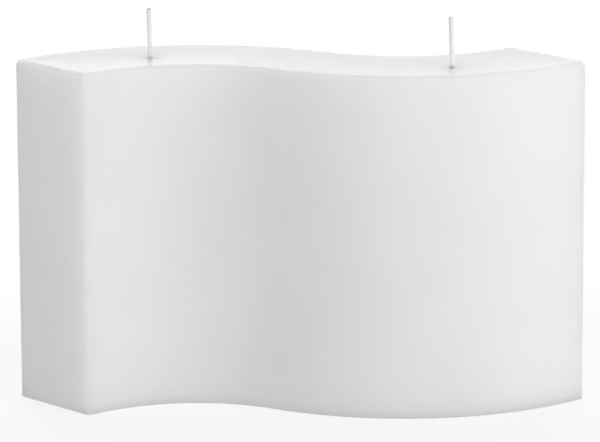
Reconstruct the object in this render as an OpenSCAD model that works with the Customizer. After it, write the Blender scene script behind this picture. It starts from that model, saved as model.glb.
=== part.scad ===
// Block candle in the shape of a wave, with two wicks.
// The block is a band of wax that makes two equal bends, the right one towards the front
// and the left one towards the back. Each bend holds one wick on the band's centre line.
// The origin is on the base, at the middle of the wave. +X runs along the wave, +Z is up.

/* [Block] */
// Height of the wax block
body_h = 150; // [80:1:250]
// Radius of the wave's centre line in both bends
wave_r = 86; // [60:1:140]
// Angle that each bend turns through, from the middle of the wave to the end face
wave_sweep = 78; // [62:1:110]
// Thickness of the band of wax
band_t = 46; // [32:1:70]
// Rounding of the top edges and of the upright edges at the ends
edge_r = 2.4; // [1.5:0.1:5]
// Bevel around the base
base_bevel = 0.6; // [0.2:0.1:1.2]

/* [Wicks] */
// Angle along a bend from the middle of the wave to its wick
wick_turn = 45; // [25:1:50]
// Diameter of the bare cotton braid
braid_d = 1.5; // [1:0.1:4]
// Thickness of the wax film on the braid
film_t = 0.18; // [0.1:0.01:0.5]
// Length of wick above the block
wick_out = 21; // [8:1:40]
// Length of braid that the trimmed film leaves bare at the tip
tip_bare = 0.6; // [0.2:0.1:3]

/* [Wick seals] */
// Diameter of the wax collar around a wick's foot
collar_d = 5; // [4:0.1:9]
// Height of the collar
collar_h = 1.1; // [0.5:0.1:3]
// Thickness of the collar at its outer edge
collar_lip = 0.2; // [0.1:0.05:0.4]

/* [Wick tabs] */
// Diameter of the pressed steel disc that holds the wick's lower end
tab_d = 20; // [12:0.5:26]
// Thickness of the disc
tab_t = 0.4; // [0.2:0.05:1]
// Height of the neck that is crimped round the wick
neck_h = 6; // [3:0.5:12]
// Wall of the neck
neck_wall = 0.35; // [0.2:0.05:0.8]
// How far the disc's underside lies above the base
tab_inset = 0.6; // [0.2:0.1:3]

/* [Clearances] */
// Gap between round faces that are bonded or crimped together
bond_gap = 0.03; // [0.02:0.01:0.1]
// Gap around the neck in the wick's channel
neck_gap = 0.25; // [0.1:0.05:0.6]
// Gap around the disc in its recess
tab_gap = 0.3; // [0.1:0.05:1]

/* [Hidden] */
$fn = 96;
WAX = [0.95, 0.95, 0.94];
COTTON = [0.93, 0.92, 0.89];
STEEL = [0.72, 0.73, 0.75];
// Extra length of a cut past the face that it opens
cut_over = 1;

// The band
// The wave is drawn with its middle cut along X, then turned so that its ends lie on X
wave_turn = -90 - wave_sweep / 2;
inner_r = wave_r - band_t / 2;
// The bend stops short of the end face by the rounding
end_turn = wave_sweep - atan(edge_r / wave_r);
shoulder_h = body_h - edge_r;
// Step from the band down to its rounded end, which keeps their faces apart
end_step = 0.05;
bar_shoulder_h = shoulder_h - end_step;

// The wicks, from the inside out
braid_r = braid_d / 2;
film_in_r = braid_r + bond_gap;
film_r = film_in_r + film_t;
grip_r = film_r + bond_gap;
neck_r = grip_r + neck_wall;
channel_r = neck_r + neck_gap;
recess_h = tab_inset + tab_t;
neck_top = recess_h + neck_h;
tip_z = body_h + wick_out;

// Places its children on the wick line of the right bend, or of the left one
module at_wick(left) {
    foot = wave_r * [cos(wick_turn) - 1, sin(wick_turn)];
    rotate(wave_turn + (left ? 180 : 0))
        translate(foot)
            children();
}

// Section of the band: upright sides, rounded at the top and bevelled at the base
module band_section() {
    polygon([
        [base_bevel, 0],
        [band_t - base_bevel, 0],
        [band_t, base_bevel],
        [band_t, shoulder_h],
        [0, shoulder_h],
        [0, base_bevel]
    ]);
    translate([edge_r, 0])
        square([band_t - 2 * edge_r, body_h]);
    for (x = [edge_r, band_t - edge_r])
        translate([x, shoulder_h])
            circle(edge_r);
}

// Half section of the bar that rounds off an end of the band
module bar_section() {
    polygon([
        [0, 0],
        [edge_r - base_bevel, 0],
        [edge_r, base_bevel],
        [edge_r, bar_shoulder_h],
        [0, bar_shoulder_h]
    ]);
    translate([0, bar_shoulder_h])
        intersection() {
            circle(edge_r);
            square(edge_r);
        }
}

// Rounded bar, half sunk in the cut end of the band, with X across the band and Y out of the end
module band_end() {
    inset = edge_r + end_step;
    span = band_t - 2 * inset;
    translate([inset, 0, 0]) {
        rotate([90, 0, 90])
            linear_extrude(span)
                for (side = [0, 1])
                    mirror([side, 0])
                        bar_section();
        rotate(90)
            rotate_extrude(angle = 180)
                bar_section();
        translate([span, 0, 0])
            rotate(-90)
                rotate_extrude(angle = 180)
                    bar_section();
    }
}

// Right half of the wave, from its middle to the rounded end
module half_wave() {
    translate([-wave_r, 0, 0]) {
        rotate_extrude(angle = end_turn)
            translate([inner_r, 0])
                band_section();
        rotate(end_turn)
            translate([inner_r, 0, 0])
                band_end();
    }
}

// Hole that the wick is threaded through, and the recess for its tab
module wick_way() {
    translate([0, 0, -cut_over])
        cylinder(r = channel_r, h = body_h + 2 * cut_over);
    translate([0, 0, -cut_over])
        cylinder(d = tab_d + 2 * tab_gap, h = recess_h + cut_over);
}

module wax_body() {
    color(WAX)
        difference() {
            rotate(wave_turn)
                for (turn = [0, 180])
                    rotate(turn)
                        half_wave();
            for (left = [false, true])
                at_wick(left)
                    wick_way();
        }
}

module wick_braid(left) {
    color(COTTON)
        at_wick(left)
            translate([0, 0, tab_inset])
                cylinder(r = braid_r, h = tip_z - tab_inset);
}

module wick_film(left) {
    color(WAX)
        at_wick(left)
            rotate_extrude()
                translate([film_in_r, tab_inset])
                    square([film_t, tip_z - tip_bare - tab_inset]);
}

// Poured wax that fills the channel above the tab's neck and rises to a collar at the top
module wick_seal(left) {
    plug_r = channel_r - bond_gap;
    collar_top = body_h + collar_h;
    color(WAX)
        at_wick(left)
            rotate_extrude()
                polygon([
                    [grip_r, neck_top + bond_gap],
                    [plug_r, neck_top + bond_gap],
                    [plug_r, body_h],
                    [collar_d / 2, body_h],
                    [collar_d / 2, body_h + collar_lip],
                    [grip_r + collar_lip, collar_top],
                    [grip_r, collar_top]
                ]);
}

module wick_tab(left) {
    color(STEEL)
        at_wick(left)
            translate([0, 0, tab_inset])
                rotate_extrude()
                    translate([grip_r, 0]) {
                        square([tab_d / 2 - grip_r, tab_t]);
                        square([neck_wall, tab_t + neck_h]);
                    }
}

wax_body();
wick_braid(left = true);  // left_wick_braid
wick_film(left = true);  // left_wick_film
wick_seal(left = true);  // left_wick_seal
wick_tab(left = true);  // left_wick_tab
wick_braid(left = false);  // right_wick_braid
wick_film(left = false);  // right_wick_film
wick_seal(left = false);  // right_wick_seal
wick_tab(left = false);  // right_wick_tab
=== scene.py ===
import math
import random

import bmesh
import bpy
from mathutils import Matrix, Vector, noise


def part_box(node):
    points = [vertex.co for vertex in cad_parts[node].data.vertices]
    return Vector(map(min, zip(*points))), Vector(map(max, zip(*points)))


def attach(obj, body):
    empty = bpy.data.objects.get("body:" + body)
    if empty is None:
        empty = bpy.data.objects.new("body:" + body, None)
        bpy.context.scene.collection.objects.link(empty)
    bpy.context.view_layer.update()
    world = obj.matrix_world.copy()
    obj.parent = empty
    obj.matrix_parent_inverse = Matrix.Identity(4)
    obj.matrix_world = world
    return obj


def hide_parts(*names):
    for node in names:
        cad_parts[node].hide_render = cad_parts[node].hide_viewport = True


# Looks of the wave-shaped block candle: wax block, waxed wicks, wax collars and steel wick tabs.
# All lengths are in metres, in the frame of the solids. Angles are in radians unless degrees are named.

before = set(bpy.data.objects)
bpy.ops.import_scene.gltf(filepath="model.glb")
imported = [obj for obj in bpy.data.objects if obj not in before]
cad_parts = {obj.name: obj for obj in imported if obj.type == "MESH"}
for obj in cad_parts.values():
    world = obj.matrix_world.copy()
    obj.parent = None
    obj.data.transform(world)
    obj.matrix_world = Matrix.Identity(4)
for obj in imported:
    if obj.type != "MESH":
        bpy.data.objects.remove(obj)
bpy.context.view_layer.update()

# The wave, as in the solids
WAVE_R = 0.086
WAVE_SWEEP = math.radians(78)
BAND_T = 0.046
EDGE_R = 0.0024
BLOCK_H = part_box("wax_body")[1].z
END_TURN = WAVE_SWEEP - math.atan(EDGE_R / WAVE_R)
CORE = BAND_T / 2 - EDGE_R

# Softer edges than in the solids: a rounding for the base's bevel, and rounder upright edges
BASE_R = 0.0006
CORNER_R = 0.003
CORE_ROUND = CORNER_R - EDGE_R

# Fits between the wicks and what holds them, as in the solids
BOND_GAP = 0.00003
NECK_WALL = 0.00035
NECK_GAP = 0.00025
TAB_T = 0.0004
TAB_GAP = 0.0003

# Fineness of the block's mesh
BEND_STEPS = 96
HALF_ACROSS_STEPS = 22
CORNER_STEPS = 4
LONG_STEPS = BEND_STEPS + CORNER_STEPS
HALF_WIDE_STEPS = HALF_ACROSS_STEPS + CORNER_STEPS
WALL_STEPS = 46
ROUND_STEPS = 8
BASE_STEPS = 3

# Sharp edges, points that are joined, sides of discs and holes, and overlap of the cutters
SHARP_ANGLE = math.radians(35)
MERGE_GAP = 1e-6
DISC_SIDES = 96
CUT_OVER = 0.001

# Unevenness of the cast wax
WALL_WAVE = 0.00006
WALL_WAVE_LENGTH = 0.03
FOOT_FADE = 0.004
SHOULDER_FADE = 0.002
TOP_SINK = 0.0004
TOP_RIPPLE = 0.00003
RIPPLE_LENGTH = 0.022
RIPPLE_WIDTH = 0.0035
END_FADE = 0.01

# The burr on the left end's top edge, measured from the front corner, and the dent beside it
BURR_AT = 0.0157
BURR_SIZE = 0.0016
BURR_RISE = 0.0007
BURR_DROP = 0.3 * EDGE_R
DENT_GAP = 1.6 * BURR_SIZE

# The wicks' lean at the tip, and how late up the wick it sets in
LEANS = {"left": Vector((-0.0004, 0.0, 0.0)), "right": Vector((-0.0006, 0.0001, 0.0))}
LEAN_POWER = 1.4

# The wax film on the wicks, and the relief of the braid under it
FILM_SIDES = 40
FILM_STEP = 0.0002
HIDDEN_STEP = 0.002
BRAID_RELIEF = 0.000035
TIP_SWELL = 0.00006
SWELL_LENGTH = 0.0012

# The braid, whose yarns end unevenly at the tip
BRAID_LAY = 0.0052
YARNS_EACH_WAY = 4
YARN_R = 0.0002
YARN_SIDES = 6
YARN_STEP = 0.0006
YARN_DIP = 0.00004
YARN_TRIM = 0.0003
YARN_SPLAY = (0.0001, 0.00028)
CORE_TRIM = 0.0002
CORE_SIDES = 12

# The collars: share of the solids' height, and lobes as count, start and size
COLLAR_CLIMB = 0.3
COLLAR_POWER = 3
COLLAR_SINK = 0.00003
COLLAR_STEPS = 16
COLLAR_SIDES = 64
COLLAR_LOBES = ((3, 1, 0.05), (5, 0, 0.03))

# The steel tabs: ring bead, mouth of the neck below and foot of the neck above
BEAD_SHARE = 0.68
BEAD_DEPTH = 0.00018
BEAD_WIDTH = 0.0007
DISC_STEPS = 40
SHEET_ROUND = 0.0001
MOUTH_W = 0.00015
MOUTH_H = 0.0004
NECK_FOOT_W = 0.0006
NECK_FOOT_H = 0.0003


class Wick:
    """Sizes of one wick, read from its solids."""

    def __init__(self, side, lean):
        low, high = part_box(side + "_wick_film")
        braid_low, braid_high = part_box(side + "_wick_braid")
        tab_low, tab_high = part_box(side + "_wick_tab")
        self.side = side
        self.lean = lean
        self.x = (low.x + high.x) / 2
        self.y = (low.y + high.y) / 2
        self.low = low.z
        self.film_top = high.z
        self.tip = braid_high.z
        self.film_r = (high.x - low.x) / 2
        self.braid_r = (braid_high.x - braid_low.x) / 2
        self.tab_r = (tab_high.x - tab_low.x) / 2
        self.grip_r = self.film_r + BOND_GAP
        self.neck_r = self.grip_r + NECK_WALL
        self.channel_r = self.neck_r + NECK_GAP

    def foot(self, height):
        """Point on the wick's upright axis."""
        return Vector((self.x, self.y, height))

    def centre(self, height):
        """Centre of the wick at a height: upright in the block, and leaning a little above it."""
        rise = max(0.0, (height - BLOCK_H) / (self.tip - BLOCK_H))
        return self.foot(height) + self.lean * rise ** LEAN_POWER


WICKS = [Wick(side, lean) for side, lean in LEANS.items()]


# Meshes

def skin(bm, rings, ends="closed"):
    """Joins rings of points with quads. The two ends are closed, joined to each other or left open."""
    rows = [[bm.verts.new(point) for point in ring] for ring in rings]
    pairs = list(zip(rows, rows[1:]))
    if ends == "joined":
        pairs.append((rows[-1], rows[0]))
    if ends == "closed":
        bm.faces.new(reversed(rows[0]))
        bm.faces.new(rows[-1])
    for low, high in pairs:
        for i in range(len(low)):
            bm.faces.new((low[i - 1], low[i], high[i], high[i - 1]))


def circle(centre, radius, sides):
    """Points around an upright axis. The radius is a number, or a function of the angle."""
    points = []
    for i in range(sides):
        angle = 2 * math.pi * i / sides
        reach = radius(angle) if callable(radius) else radius
        points.append(centre + Vector((reach * math.cos(angle), reach * math.sin(angle), 0)))
    return points


def smooth(mesh):
    """Smooth shading between the sharp edges."""
    mesh.polygons.foreach_set("use_smooth", [True] * len(mesh.polygons))
    mesh.set_sharp_from_angle(angle=SHARP_ANGLE)


def placed(name, data):
    """New object in the scene."""
    made = bpy.data.objects.new(name, data)
    bpy.context.scene.collection.objects.link(made)
    return made


def finished(name, bm):
    """Mesh with what was built."""
    mesh = bpy.data.meshes.new(name)
    bm.to_mesh(mesh)
    bm.free()
    return mesh


def new_object(name, bm):
    """Object with the mesh that was built, its faces turned outwards and smooth between sharp edges."""
    bmesh.ops.recalc_face_normals(bm, faces=bm.faces)
    mesh = finished(name, bm)
    smooth(mesh)
    return placed(name, mesh)


def dress(piece, node, material):
    """Puts a piece in the place of a solid, with its finish."""
    piece.data.materials.clear()
    piece.data.materials.append(material)
    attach(piece, "root")
    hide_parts(node)


def ease(x):
    """Smooth step from 0 to 1."""
    x = min(1.0, max(0.0, x))
    return x * x * (3 - 2 * x)


# The block

def bend_point(turn, offset):
    """Point on the right bend, at an angle from the wave's middle and an offset from its centre line,
    and the direction away from the bend's centre there."""
    heading = turn - math.pi / 2 - WAVE_SWEEP / 2
    out = Vector((math.cos(heading), math.sin(heading)))
    centre = WAVE_R * Vector((math.sin(WAVE_SWEEP / 2), math.cos(WAVE_SWEEP / 2)))
    return centre + (WAVE_R + offset) * out, out


def turned(direction, angle):
    """A flat direction, turned anticlockwise."""
    return Matrix.Rotation(angle, 2) @ direction


def core_point(i, j):
    """Point of the right bend, set in by the edge rounding, i steps along it and j steps out from its
    centre line, and the way out of the block from there. The grid's corners are pressed round."""
    along = max(0, i - BEND_STEPS) / CORNER_STEPS
    across = max(0, abs(j) - HALF_ACROSS_STEPS) / CORNER_STEPS
    ahead = along * math.sqrt(1 - across * across / 2)
    aside = math.copysign(across * math.sqrt(1 - along * along / 2), j)
    flat = max(-1.0, min(1.0, j / HALF_ACROSS_STEPS))
    offset = (CORE - CORE_ROUND) * flat + CORE_ROUND * aside
    lead = CORE_ROUND / (WAVE_R + offset)
    turn = (END_TURN - lead) * min(1.0, i / BEND_STEPS) + lead * ahead
    point, out = bend_point(turn, offset)
    return point, aside * out + ahead * turned(out, math.pi / 2)


def core_outline():
    """Outline of the block, set in by the edge rounding, as points with their outward directions."""
    front = [core_point(i, HALF_WIDE_STEPS) for i in range(LONG_STEPS)]
    end = [core_point(LONG_STEPS, -j) for j in range(-HALF_WIDE_STEPS, HALF_WIDE_STEPS + 1)]
    back = [core_point(LONG_STEPS - i, -HALF_WIDE_STEPS) for i in range(1, LONG_STEPS)]
    half = front + end + back
    return half + [(-point, -out) for point, out in half]


def wall_profile():
    """Steps up the wall, as pairs of reach from the core outline and height."""
    profile = [(0.0, 0.0)]
    for i in range(BASE_STEPS + 1):
        angle = math.pi / 2 * i / BASE_STEPS
        reach = EDGE_R - BASE_R + BASE_R * math.sin(angle)
        profile.append((reach, BASE_R - BASE_R * math.cos(angle)))
    shoulder = BLOCK_H - EDGE_R
    for i in range(1, WALL_STEPS):
        profile.append((EDGE_R, BASE_R + (shoulder - BASE_R) * i / WALL_STEPS))
    for i in range(ROUND_STEPS + 1):
        angle = math.pi / 2 * i / ROUND_STEPS
        profile.append((EDGE_R * math.cos(angle), shoulder + EDGE_R * math.sin(angle)))
    return profile


def band_place(x, y):
    """Distance along the wave, to the right of its middle, and offset to the front of its centre line."""
    middle, out = bend_point(0, 0)
    ahead = turned(out, math.pi / 2)
    side = 1 if Vector((x, y)).dot(ahead) >= 0 else -1
    from_centre = side * Vector((x, y)) - (middle - WAVE_R * out)
    turn = out.angle_signed(from_centre)
    return -side * turn * WAVE_R, side * (from_centre.length - WAVE_R)


def top_height(x, y):
    """Height of the poured top: a little sunk along the middle, with faint flow lines along the band."""
    along, across = band_place(x, y)
    share = min(1.0, abs(across) / CORE)
    ripple = noise.noise((along / RIPPLE_LENGTH, across / RIPPLE_WIDTH, 0.0))
    inside = (1 - share ** 4) * ease((END_TURN * WAVE_R - abs(along)) / END_FADE)
    return BLOCK_H - TOP_SINK * (1 - share * share) * inside + TOP_RIPPLE * ripple * inside


def add_cap(bm, height):
    """Grid over the core outline, with a height for each place."""
    rows = []
    for i in range(-LONG_STEPS, LONG_STEPS + 1):
        side = 1 if i >= 0 else -1
        row = []
        for j in range(-HALF_WIDE_STEPS, HALF_WIDE_STEPS + 1):
            point = side * core_point(abs(i), side * j)[0]
            row.append(bm.verts.new((point.x, point.y, height(point.x, point.y))))
        rows.append(row)
    for low, high in zip(rows, rows[1:]):
        for j in range(2 * HALF_WIDE_STEPS):
            bm.faces.new((low[j], high[j], high[j + 1], low[j + 1]))


def burr_place():
    """Middle of the burr on the left end's top edge, and the direction along that edge."""
    point, out = bend_point(END_TURN, BURR_AT - BAND_T / 2)
    ahead = turned(out, math.pi / 2)
    edge = -(point + ahead * EDGE_R)
    return Vector((edge.x, edge.y, BLOCK_H - BURR_DROP)), Vector((-out.x, -out.y, 0))


def roughen(bm):
    """Gives the walls the slight waviness of cast wax, and the left end its burr."""
    bm.normal_update()
    burr, along = burr_place()
    for vert in bm.verts:
        height = vert.co.z
        fade = ease(height / FOOT_FADE) * ease((BLOCK_H - height) / SHOULDER_FADE)
        wave = noise.noise(vert.co / WALL_WAVE_LENGTH) * WALL_WAVE * fade
        gap = vert.co - burr
        bump = math.exp(-(gap.length / BURR_SIZE) ** 2)
        dent = math.exp(-((gap - along * DENT_GAP).length / BURR_SIZE) ** 2)
        vert.co += vert.normal * (wave + BURR_RISE * (bump - dent))


def wick_way(wick):
    """Cutter for a wick's channel and for the recess of its tab."""
    recess_r = wick.tab_r + TAB_GAP
    recess_h = wick.low + TAB_T
    profile = [(recess_r, -CUT_OVER), (recess_r, recess_h)]
    profile += [(wick.channel_r, recess_h), (wick.channel_r, BLOCK_H + CUT_OVER)]
    bm = bmesh.new()
    skin(bm, [circle(wick.foot(z), r, DISC_SIDES) for r, z in profile])
    return new_object("cutter", bm)


def cut(piece, cutter):
    """Cuts one mesh with another, for good."""
    boolean = piece.modifiers.new("cut", "BOOLEAN")
    boolean.object = cutter
    boolean.operation = "DIFFERENCE"
    boolean.solver = "EXACT"
    graph = bpy.context.evaluated_depsgraph_get()
    mesh = bpy.data.meshes.new_from_object(piece.evaluated_get(graph))
    piece.modifiers.clear()
    piece.data = mesh
    bpy.data.objects.remove(cutter)


def weld(mesh):
    """Joins points that all but touch, which a cut can leave on its edge."""
    bm = bmesh.new()
    bm.from_mesh(mesh)
    bmesh.ops.remove_doubles(bm, verts=bm.verts, dist=MERGE_GAP)
    bm.to_mesh(mesh)
    bm.free()


def block():
    """The cast block, with the wick channels and tab recesses."""
    bm = bmesh.new()
    outline = core_outline()
    rings = []
    for reach, height in wall_profile():
        rings.append([Vector((*(point + out * reach), height)) for point, out in outline])
    skin(bm, rings, ends="open")
    add_cap(bm, lambda x, y: 0.0)
    add_cap(bm, top_height)
    bmesh.ops.remove_doubles(bm, verts=bm.verts, dist=MERGE_GAP)
    bmesh.ops.recalc_face_normals(bm, faces=bm.faces)
    roughen(bm)
    piece = new_object("block", bm)
    for wick in WICKS:
        cut(piece, wick_way(wick))
    weld(piece.data)
    smooth(piece.data)
    return piece


# The wicks

def steps_between(low, high, longest):
    """Even steps from one height to another."""
    count = math.ceil((high - low) / longest)
    return [low + (high - low) * i / count for i in range(count + 1)]


def film(wick):
    """Wax film over the braid, whose crossing yarns show through it."""
    inside_r = wick.braid_r + BOND_GAP
    hidden = steps_between(wick.low, BLOCK_H, HIDDEN_STEP)[:-1]
    heights = hidden + steps_between(BLOCK_H, wick.film_top, FILM_STEP)

    def outside(height):
        swell = TIP_SWELL * ease((height - wick.film_top + SWELL_LENGTH) / SWELL_LENGTH)
        lay = 2 * math.pi * height / BRAID_LAY

        def reach(angle):
            one_way = math.cos(YARNS_EACH_WAY * angle - lay)
            other_way = math.cos(YARNS_EACH_WAY * angle + lay)
            return wick.film_r - BRAID_RELIEF * (1 - max(one_way, other_way)) + swell
        return reach

    rings = [circle(wick.centre(z), outside(z), FILM_SIDES) for z in heights]
    rings += [circle(wick.centre(z), inside_r, FILM_SIDES) for z in reversed(heights)]
    bm = bmesh.new()
    skin(bm, rings, ends="joined")
    return new_object(wick.side + "_film", bm)


def yarn_rings(wick, start, way, top, splay):
    """Rings of one yarn of the braid, which winds one way and dips under the yarns of the other way."""
    middle = wick.braid_r - YARN_R - YARN_DIP
    slope = way * 2 * math.pi / BRAID_LAY
    turns = [2 * math.pi * i / YARN_SIDES for i in range(YARN_SIDES)]
    rings = []
    for height in steps_between(wick.low, top, YARN_STEP):
        angle = start + slope * height
        weave = YARN_DIP * math.cos(slope * height * YARNS_EACH_WAY) * way
        out = Vector((math.cos(angle), math.sin(angle), 0))
        ahead = Vector((-out.y * slope * middle, out.x * slope * middle, 1)).normalized()
        across = ahead.cross(out)
        spread = splay * ease((height - wick.film_top) / (top - wick.film_top))
        centre = wick.centre(height) + out * (middle + weave + spread)
        ring = [centre + YARN_R * (math.cos(turn) * out + math.sin(turn) * across) for turn in turns]
        rings.append(ring)
    return rings


def braid(wick):
    """Plaited cotton yarns round a straight core, slightly splayed where the tip was trimmed."""
    chance = random.Random(wick.side)
    bm = bmesh.new()
    for way in (1, -1):
        for i in range(YARNS_EACH_WAY):
            start = 2 * math.pi * (i + (0.5 if way < 0 else 0)) / YARNS_EACH_WAY
            top = wick.tip - chance.uniform(0, YARN_TRIM)
            splay = chance.uniform(*YARN_SPLAY)
            skin(bm, yarn_rings(wick, start, way, top, splay))
    core_r = wick.braid_r - 2 * YARN_R
    core_heights = steps_between(wick.low, wick.tip - CORE_TRIM, HIDDEN_STEP)
    skin(bm, [circle(wick.centre(z), core_r, CORE_SIDES) for z in core_heights])
    return new_object(wick.side + "_braid", bm)


def collar(wick):
    """Wax poured round a wick, which climbs it in a hollow curve and thins out on the block."""
    low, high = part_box(wick.side + "_wick_seal")
    plug_r = wick.channel_r - BOND_GAP
    collar_r = (high.x - low.x) / 2
    seat = top_height(wick.x, wick.y) - COLLAR_SINK
    climb = COLLAR_CLIMB * (high.z - seat)
    profile = [(wick.grip_r, low.z), (plug_r, low.z), (plug_r, seat)]
    for i in range(COLLAR_STEPS + 1):
        share = i / COLLAR_STEPS
        radius = collar_r + (wick.grip_r - collar_r) * share
        profile.append((radius, seat + climb * share ** COLLAR_POWER))

    def lobed(radius):
        loose = max(0.0, (radius - plug_r) / (collar_r - plug_r))

        def reach(angle):
            lobes = sum(size * math.sin(count * angle + start) for count, start, size in COLLAR_LOBES)
            return radius * (1 + loose * lobes)
        return reach

    bm = bmesh.new()
    skin(bm, [circle(wick.foot(z), lobed(r), COLLAR_SIDES) for r, z in profile], ends="joined")
    return new_object(wick.side + "_collar", bm)


def tab(wick):
    """Pressed steel disc with a ring bead, a rounded rim and a plain neck that holds the wick."""
    low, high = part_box(wick.side + "_wick_tab")
    under = low.z
    over = low.z + TAB_T
    neck_top = high.z
    bead_r = wick.tab_r * BEAD_SHARE
    rim_r = wick.tab_r - SHEET_ROUND
    foot_r = wick.neck_r + NECK_FOOT_W

    def pressed(radius):
        return -BEAD_DEPTH * math.exp(-((radius - bead_r) / BEAD_WIDTH) ** 2)

    radii = [rim_r + (foot_r - rim_r) * i / DISC_STEPS for i in range(DISC_STEPS + 1)]
    rim = [(wick.tab_r, over - SHEET_ROUND), (wick.tab_r, under + SHEET_ROUND)]
    mouth = [(wick.grip_r + MOUTH_W, under + SHEET_ROUND), (wick.grip_r, under + MOUTH_H)]
    neck = [
        (wick.grip_r, neck_top - SHEET_ROUND),
        (wick.grip_r + NECK_WALL / 2, neck_top),
        (wick.neck_r, neck_top - SHEET_ROUND),
        (wick.neck_r, over + NECK_FOOT_H),
    ]
    underside = [(r, under + pressed(r)) for r in radii]
    upper_side = [(r, over + pressed(r)) for r in reversed(radii)]
    profile = rim + underside + mouth + neck + upper_side
    bm = bmesh.new()
    skin(bm, [circle(wick.foot(z), r, DISC_SIDES) for r, z in profile], ends="joined")
    return new_object(wick.side + "_tab", bm)


# Materials

WAX_IOR = 1.44
# Stretch of a noise's values that most places lie in
NOISE_LOW = 0.3
NOISE_HIGH = 0.7
# Depths below the top between which the walls' satin turns to the gloss of the poured top
SATIN_DEPTH = 0.7 * EDGE_R
GLOSS_DEPTH = 0.15 * EDGE_R


def set_inputs(tree, node, inputs):
    """Sets a node's inputs: a socket is linked, and any other value is written."""
    for name, value in inputs.items():
        if isinstance(value, bpy.types.NodeSocket):
            tree.links.new(value, node.inputs[name])
        else:
            node.inputs[name].default_value = value


def add_node(tree, kind, inputs=None, **settings):
    """New node in a material or the world."""
    node = tree.nodes.new("ShaderNode" + kind)
    for name, value in settings.items():
        setattr(node, name, value)
    set_inputs(tree, node, inputs or {})
    return node


def new_material(name):
    """Material with its node tree and shader."""
    material = bpy.data.materials.new(name)
    material.use_nodes = True
    return material, material.node_tree, material.node_tree.nodes["Principled BSDF"]


def place_of(tree):
    """Place on the object, in metres."""
    return add_node(tree, "TexCoord").outputs["Object"]


def stretched(tree, place, scale):
    """The place, with its axes scaled."""
    return add_node(tree, "Mapping", {"Vector": place, "Scale": scale}).outputs["Vector"]


def grain(tree, place, size, detail=3.0):
    """Noise whose patches have about a given size."""
    inputs = {"Vector": place, "Scale": 1 / size, "Detail": detail}
    return add_node(tree, "TexNoise", inputs).outputs["Fac"]


def ranged(tree, value, low, high):
    """A noise value, mapped to a range."""
    span = {"From Min": NOISE_LOW, "From Max": NOISE_HIGH, "To Min": low, "To Max": high}
    return add_node(tree, "MapRange", {"Value": value, **span}).outputs["Result"]


def tones(tree, value, *colours):
    """A noise value, mapped to a run of colours."""
    ramp = add_node(tree, "ValToRGB", {"Fac": value})
    stops = ramp.color_ramp.elements
    while len(stops) < len(colours):
        stops.new(0.5)
    for i, colour in enumerate(colours):
        stops[i].position = NOISE_LOW + (NOISE_HIGH - NOISE_LOW) * i / (len(colours) - 1)
        stops[i].color = (*colour, 1.0)
    return ramp.outputs["Color"]


def bumped(tree, height, depth, strength, normal=None):
    """Surface normal with a relief of a given depth."""
    inputs = {"Height": height, "Distance": depth, "Strength": strength}
    if normal is not None:
        inputs["Normal"] = normal
    return add_node(tree, "Bump", inputs).outputs["Normal"]


def cast_wax():
    """Cast wax: cloudy in tone, satin on the walls, and glossier on the poured top."""
    material, tree, shader = new_material("cast_wax")
    place = place_of(tree)
    clouds = grain(tree, place, size=0.035, detail=4.0)
    fine = grain(tree, place, size=0.0012)
    swell = grain(tree, place, size=0.012, detail=2.0)
    height = add_node(tree, "SeparateXYZ", {"Vector": place}).outputs["Z"]
    gloss = add_node(tree, "MapRange", {
        "Value": height,
        "From Min": BLOCK_H - SATIN_DEPTH,
        "From Max": BLOCK_H - GLOSS_DEPTH,
        "To Min": ranged(tree, grain(tree, place, size=0.009), low=0.36, high=0.46),
        "To Max": ranged(tree, grain(tree, place, size=0.006), low=0.06, high=0.1),
    })
    relief = bumped(tree, swell, depth=0.0004, strength=0.12)
    set_inputs(tree, shader, {
        "Base Color": tones(
            tree, clouds, (0.856, 0.862, 0.858), (0.87, 0.872, 0.867), (0.882, 0.882, 0.874)),
        "Roughness": gloss.outputs["Result"],
        "Normal": bumped(tree, fine, depth=0.00005, strength=0.25, normal=relief),
        "IOR": WAX_IOR,
        "Subsurface Weight": 1.0,
        "Subsurface Radius": (1.0, 0.96, 0.93),
        "Subsurface Scale": 0.034,
    })
    return material


def drawn_wax():
    """Thin wax on the wicks, drawn smooth, with the cotton just showing through.
    Its grey is partly the film's own tone and partly painted shade of the cotton under the thin film.
    """
    material, tree, shader = new_material("drawn_wax")
    place = place_of(tree)
    clouds = grain(tree, place, size=0.0015)
    drawn = grain(tree, stretched(tree, place, (1, 1, 0.2)), size=0.0005)
    set_inputs(tree, shader, {
        # Grey tone: the film's own colour, darkened with painted shade of the cotton under the film
        "Base Color": tones(tree, clouds, (0.79, 0.79, 0.777), (0.82, 0.82, 0.806)),
        "Roughness": ranged(tree, drawn, low=0.32, high=0.5),
        "Normal": bumped(tree, drawn, depth=0.00004, strength=0.4),
        "IOR": WAX_IOR,
    })
    return material


def poured_wax():
    """Poured wax at a wick's foot, glossy where it set against the wick.
    Its tone is the wax's own, made a little lighter than the block's as painted light on the small,
    shaded collar.
    """
    material, tree, shader = new_material("poured_wax")
    place = place_of(tree)
    clouds = grain(tree, place, size=0.002)
    set_inputs(tree, shader, {
        # Tone: the wax's own colour, lightened a little as painted light where the collar lies in shade
        "Base Color": tones(tree, clouds, (0.88, 0.882, 0.876), (0.9, 0.9, 0.892)),
        "Roughness": ranged(tree, grain(tree, place, size=0.0012), low=0.1, high=0.2),
        "Normal": bumped(tree, grain(tree, place, size=0.001), depth=0.00008, strength=0.3),
        "IOR": WAX_IOR,
    })
    return material


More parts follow.
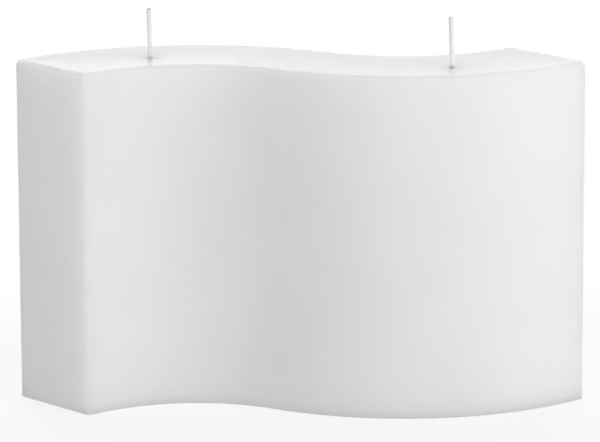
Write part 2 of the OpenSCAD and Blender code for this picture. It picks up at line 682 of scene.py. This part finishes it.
def cotton_yarn():
    """Bleached cotton yarn, with fibres along the wick."""
    material, tree, shader = new_material("cotton_yarn")
    place = place_of(tree)
    fibres = grain(tree, stretched(tree, place, (1, 1, 0.15)), size=0.00006, detail=4.0)
    set_inputs(tree, shader, {
        "Base Color": tones(tree, fibres, (0.84, 0.83, 0.8), (0.89, 0.885, 0.865)),
        "Roughness": ranged(tree, fibres, low=0.8, high=0.95),
        "Normal": bumped(tree, fibres, depth=0.00003, strength=0.6),
        "Sheen Weight": 0.25,
    })
    return material


def tinned_steel():
    """Tinned sheet steel with fine scratches and a few dull spots."""
    material, tree, shader = new_material("tinned_steel")
    place = place_of(tree)
    scratches = grain(tree, stretched(tree, place, (1, 14, 1)), size=0.002, detail=5.0)
    spots = grain(tree, place, size=0.003, detail=4.0)
    set_inputs(tree, shader, {
        "Base Color": tones(tree, spots, (0.55, 0.56, 0.58), (0.64, 0.65, 0.67)),
        "Metallic": 1.0,
        "Roughness": ranged(tree, spots, low=0.24, high=0.42),
        "Normal": bumped(tree, scratches, depth=0.00002, strength=0.5),
    })
    return material


# Floor

FLOOR_HALF = 8.0
FLOOR_DROP = 0.00005
FLOOR_LAP = 0.0002
# The floor as it is seen, and as it throws light back on the block
FLOOR_SEEN = (0.97, 0.97, 0.97, 1)
FLOOR_BOUNCE = (0.25, 0.25, 0.25, 1)
# Half axes of the shadow's oval, where its fading starts and ends in shares of that oval,
# and how much plain white is mixed in before it fades
SHADOW_REACH = (0.14, 0.10)
SHADOW_FADE = (1.1, 2.4)
SHADOW_LIGHT = 0.78


def reckoned(tree, operation, one, other):
    """Result of a sum on two values."""
    node = add_node(tree, "Math", operation=operation)
    tree.links.new(one, node.inputs[0])
    tree.links.new(other, node.inputs[1])
    return node.outputs["Value"]


def seen_directly(tree):
    """1 for what the camera sees, also in mirrors and through glass, and 0 for light on the object."""
    rays = add_node(tree, "LightPath").outputs
    camera_or_glossy = reckoned(tree, "MAXIMUM", rays["Is Camera Ray"], rays["Is Glossy Ray"])
    return reckoned(tree, "MAXIMUM", camera_or_glossy, rays["Is Transmission Ray"])


def mixed(tree, share, one, other):
    """Mix of two shaders."""
    mix = add_node(tree, "MixShader", {"Fac": share})
    tree.links.new(one, mix.inputs[1])
    tree.links.new(other, mix.inputs[2])
    return mix.outputs["Shader"]


def floor_white():
    """White floor that keeps the shadow close to the block, turns plain white farther out
    and does not hide the base in a view from below."""
    material, tree, shader = new_material("floor_white")
    tree.nodes.remove(shader)
    place = stretched(tree, place_of(tree), (1 / SHADOW_REACH[0], 1 / SHADOW_REACH[1], 0))
    distance = add_node(tree, "VectorMath", {"Vector": place}, operation="LENGTH")
    far = add_node(tree, "MapRange", {
        "Value": distance.outputs["Value"],
        "From Min": SHADOW_FADE[0],
        "From Max": SHADOW_FADE[1],
        "To Min": SHADOW_LIGHT,
    }, interpolation_type="SMOOTHSTEP")
    seen = seen_directly(tree)
    plain_share = reckoned(tree, "MULTIPLY", far.outputs["Result"], seen)
    bounce = add_node(tree, "BsdfDiffuse", {"Color": FLOOR_BOUNCE}).outputs["BSDF"]
    pale = add_node(tree, "BsdfDiffuse", {"Color": FLOOR_SEEN}).outputs["BSDF"]
    matt = mixed(tree, seen, bounce, pale)
    plain = add_node(tree, "Emission", {"Strength": 1.0}).outputs["Emission"]
    clear = add_node(tree, "BsdfTransparent").outputs["BSDF"]
    below = add_node(tree, "NewGeometry").outputs["Backfacing"]
    surface = mixed(tree, below, mixed(tree, plain_share, matt, plain), clear)
    tree.links.new(surface, tree.nodes["Material Output"].inputs["Surface"])
    return material


def floor():
    """Wide floor, open under the block so that a view from below shows the base."""
    bm = bmesh.new()
    corners = [Vector((x, y)) * FLOOR_HALF for x, y in ((-1, -1), (1, -1), (1, 1), (-1, 1))]
    reach = EDGE_R - BASE_R - FLOOR_LAP
    opening = [point + out * reach for point, out in core_outline()]
    for outline in (corners, opening):
        verts = [bm.verts.new((point.x, point.y, -FLOOR_DROP)) for point in outline]
        for i in range(len(verts)):
            bm.edges.new((verts[i - 1], verts[i]))
    bmesh.ops.triangle_fill(bm, edges=bm.edges, use_beauty=True)
    for face in bm.faces:
        if face.normal.z < 0:
            face.normal_flip()
    made = placed("floor", finished("floor", bm))
    made.data.materials.append(floor_white())


# Light and camera

WHITE = (1, 1, 1, 1)
MIDDLE = Vector((0, 0, BLOCK_H / 2))
# The camera's turn to the side, its look down and its roll
CAMERA_TURN = -0.1182
CAMERA_DROP = 0.2348
CAMERA_ROLL = -0.004
# Right, up and back from the middle of the block, in the camera's own directions
CAMERA_PLACE = Vector((-0.00039, 0.0039, 2.1))
# Sensor and lens in millimetres
SENSOR_W = 36.0
LENS = 290.8


def surroundings(strength):
    """Even soft light from all round, in front of a white background."""
    world = bpy.data.worlds.new("studio")
    bpy.context.scene.world = world
    world.use_nodes = True
    tree = world.node_tree
    soft = tree.nodes["Background"]
    set_inputs(tree, soft, {"Color": WHITE, "Strength": strength})
    white = add_node(tree, "Background", {"Color": WHITE, "Strength": 1.0})
    seen = mixed(tree, seen_directly(tree), soft.outputs["Background"], white.outputs["Background"])
    tree.links.new(seen, tree.nodes["World Output"].inputs["Surface"])


def softbox(name, azimuth, elevation, distance, size, power, mirrored=False):
    """Soft lamp turned to the middle of the block, at angles in degrees. Azimuth 0 is in front,
    and 90 on the right. Only a mirrored lamp shows as a sheen on the wax."""
    lamp = bpy.data.lights.new(name, "AREA")
    lamp.shape = "RECTANGLE"
    lamp.size, lamp.size_y = size
    lamp.energy = power
    made = placed(name, lamp)
    aside = Matrix.Rotation(math.radians(azimuth), 4, "Z")
    tilt = Matrix.Rotation(math.radians(90 - elevation), 4, "X")
    away = Matrix.Translation((0, 0, distance))
    made.matrix_world = Matrix.Translation(MIDDLE) @ aside @ tilt @ away
    made.visible_camera = False
    made.visible_glossy = mirrored


def camera():
    """Long lens from the front, a little above the block, as in the photograph."""
    lens = bpy.data.cameras.new("camera")
    lens.sensor_fit = "HORIZONTAL"
    lens.sensor_width = SENSOR_W
    lens.lens = LENS
    made = placed("camera", lens)
    level = Matrix.Rotation(CAMERA_TURN, 4, "Z") @ Matrix.Rotation(math.pi / 2 - CAMERA_DROP, 4, "X")
    aim = level @ Matrix.Rotation(CAMERA_ROLL, 4, "Z")
    made.matrix_world = Matrix.Translation(MIDDLE + aim @ CAMERA_PLACE) @ aim
    bpy.context.scene.camera = made


# The whole scene

camera()
surroundings(strength=0.15)
softbox("key", azimuth=52, elevation=10, distance=1.4, size=(0.8, 0.8), power=16.5)
softbox("fill", azimuth=-50, elevation=10, distance=1.4, size=(0.8, 0.8), power=10.2)
softbox("back", azimuth=180, elevation=45, distance=1.6, size=(2.4, 1.0), power=21.0)
softbox("under", azimuth=0, elevation=-90, distance=0.6, size=(0.8, 0.8), power=1.7)
softbox(
    "sheen", azimuth=174.3, elevation=14, distance=1.036,
    size=(0.8, 0.25), power=0.082, mirrored=True,
)
softbox(
    "left_sheen", azimuth=181.2, elevation=11.3, distance=1.02,
    size=(0.2, 0.15), power=0.012, mirrored=True,
)
floor()

dress(block(), "wax_body", cast_wax())
film_finish = drawn_wax()
seal_finish = poured_wax()
cotton_finish = cotton_yarn()
steel_finish = tinned_steel()
for wick in WICKS:
    dress(braid(wick), wick.side + "_wick_braid", cotton_finish)
    dress(film(wick), wick.side + "_wick_film", film_finish)
    dress(collar(wick), wick.side + "_wick_seal", seal_finish)
    dress(tab(wick), wick.side + "_wick_tab", steel_finish)

bpy.context.scene.view_settings.view_transform = "Standard"
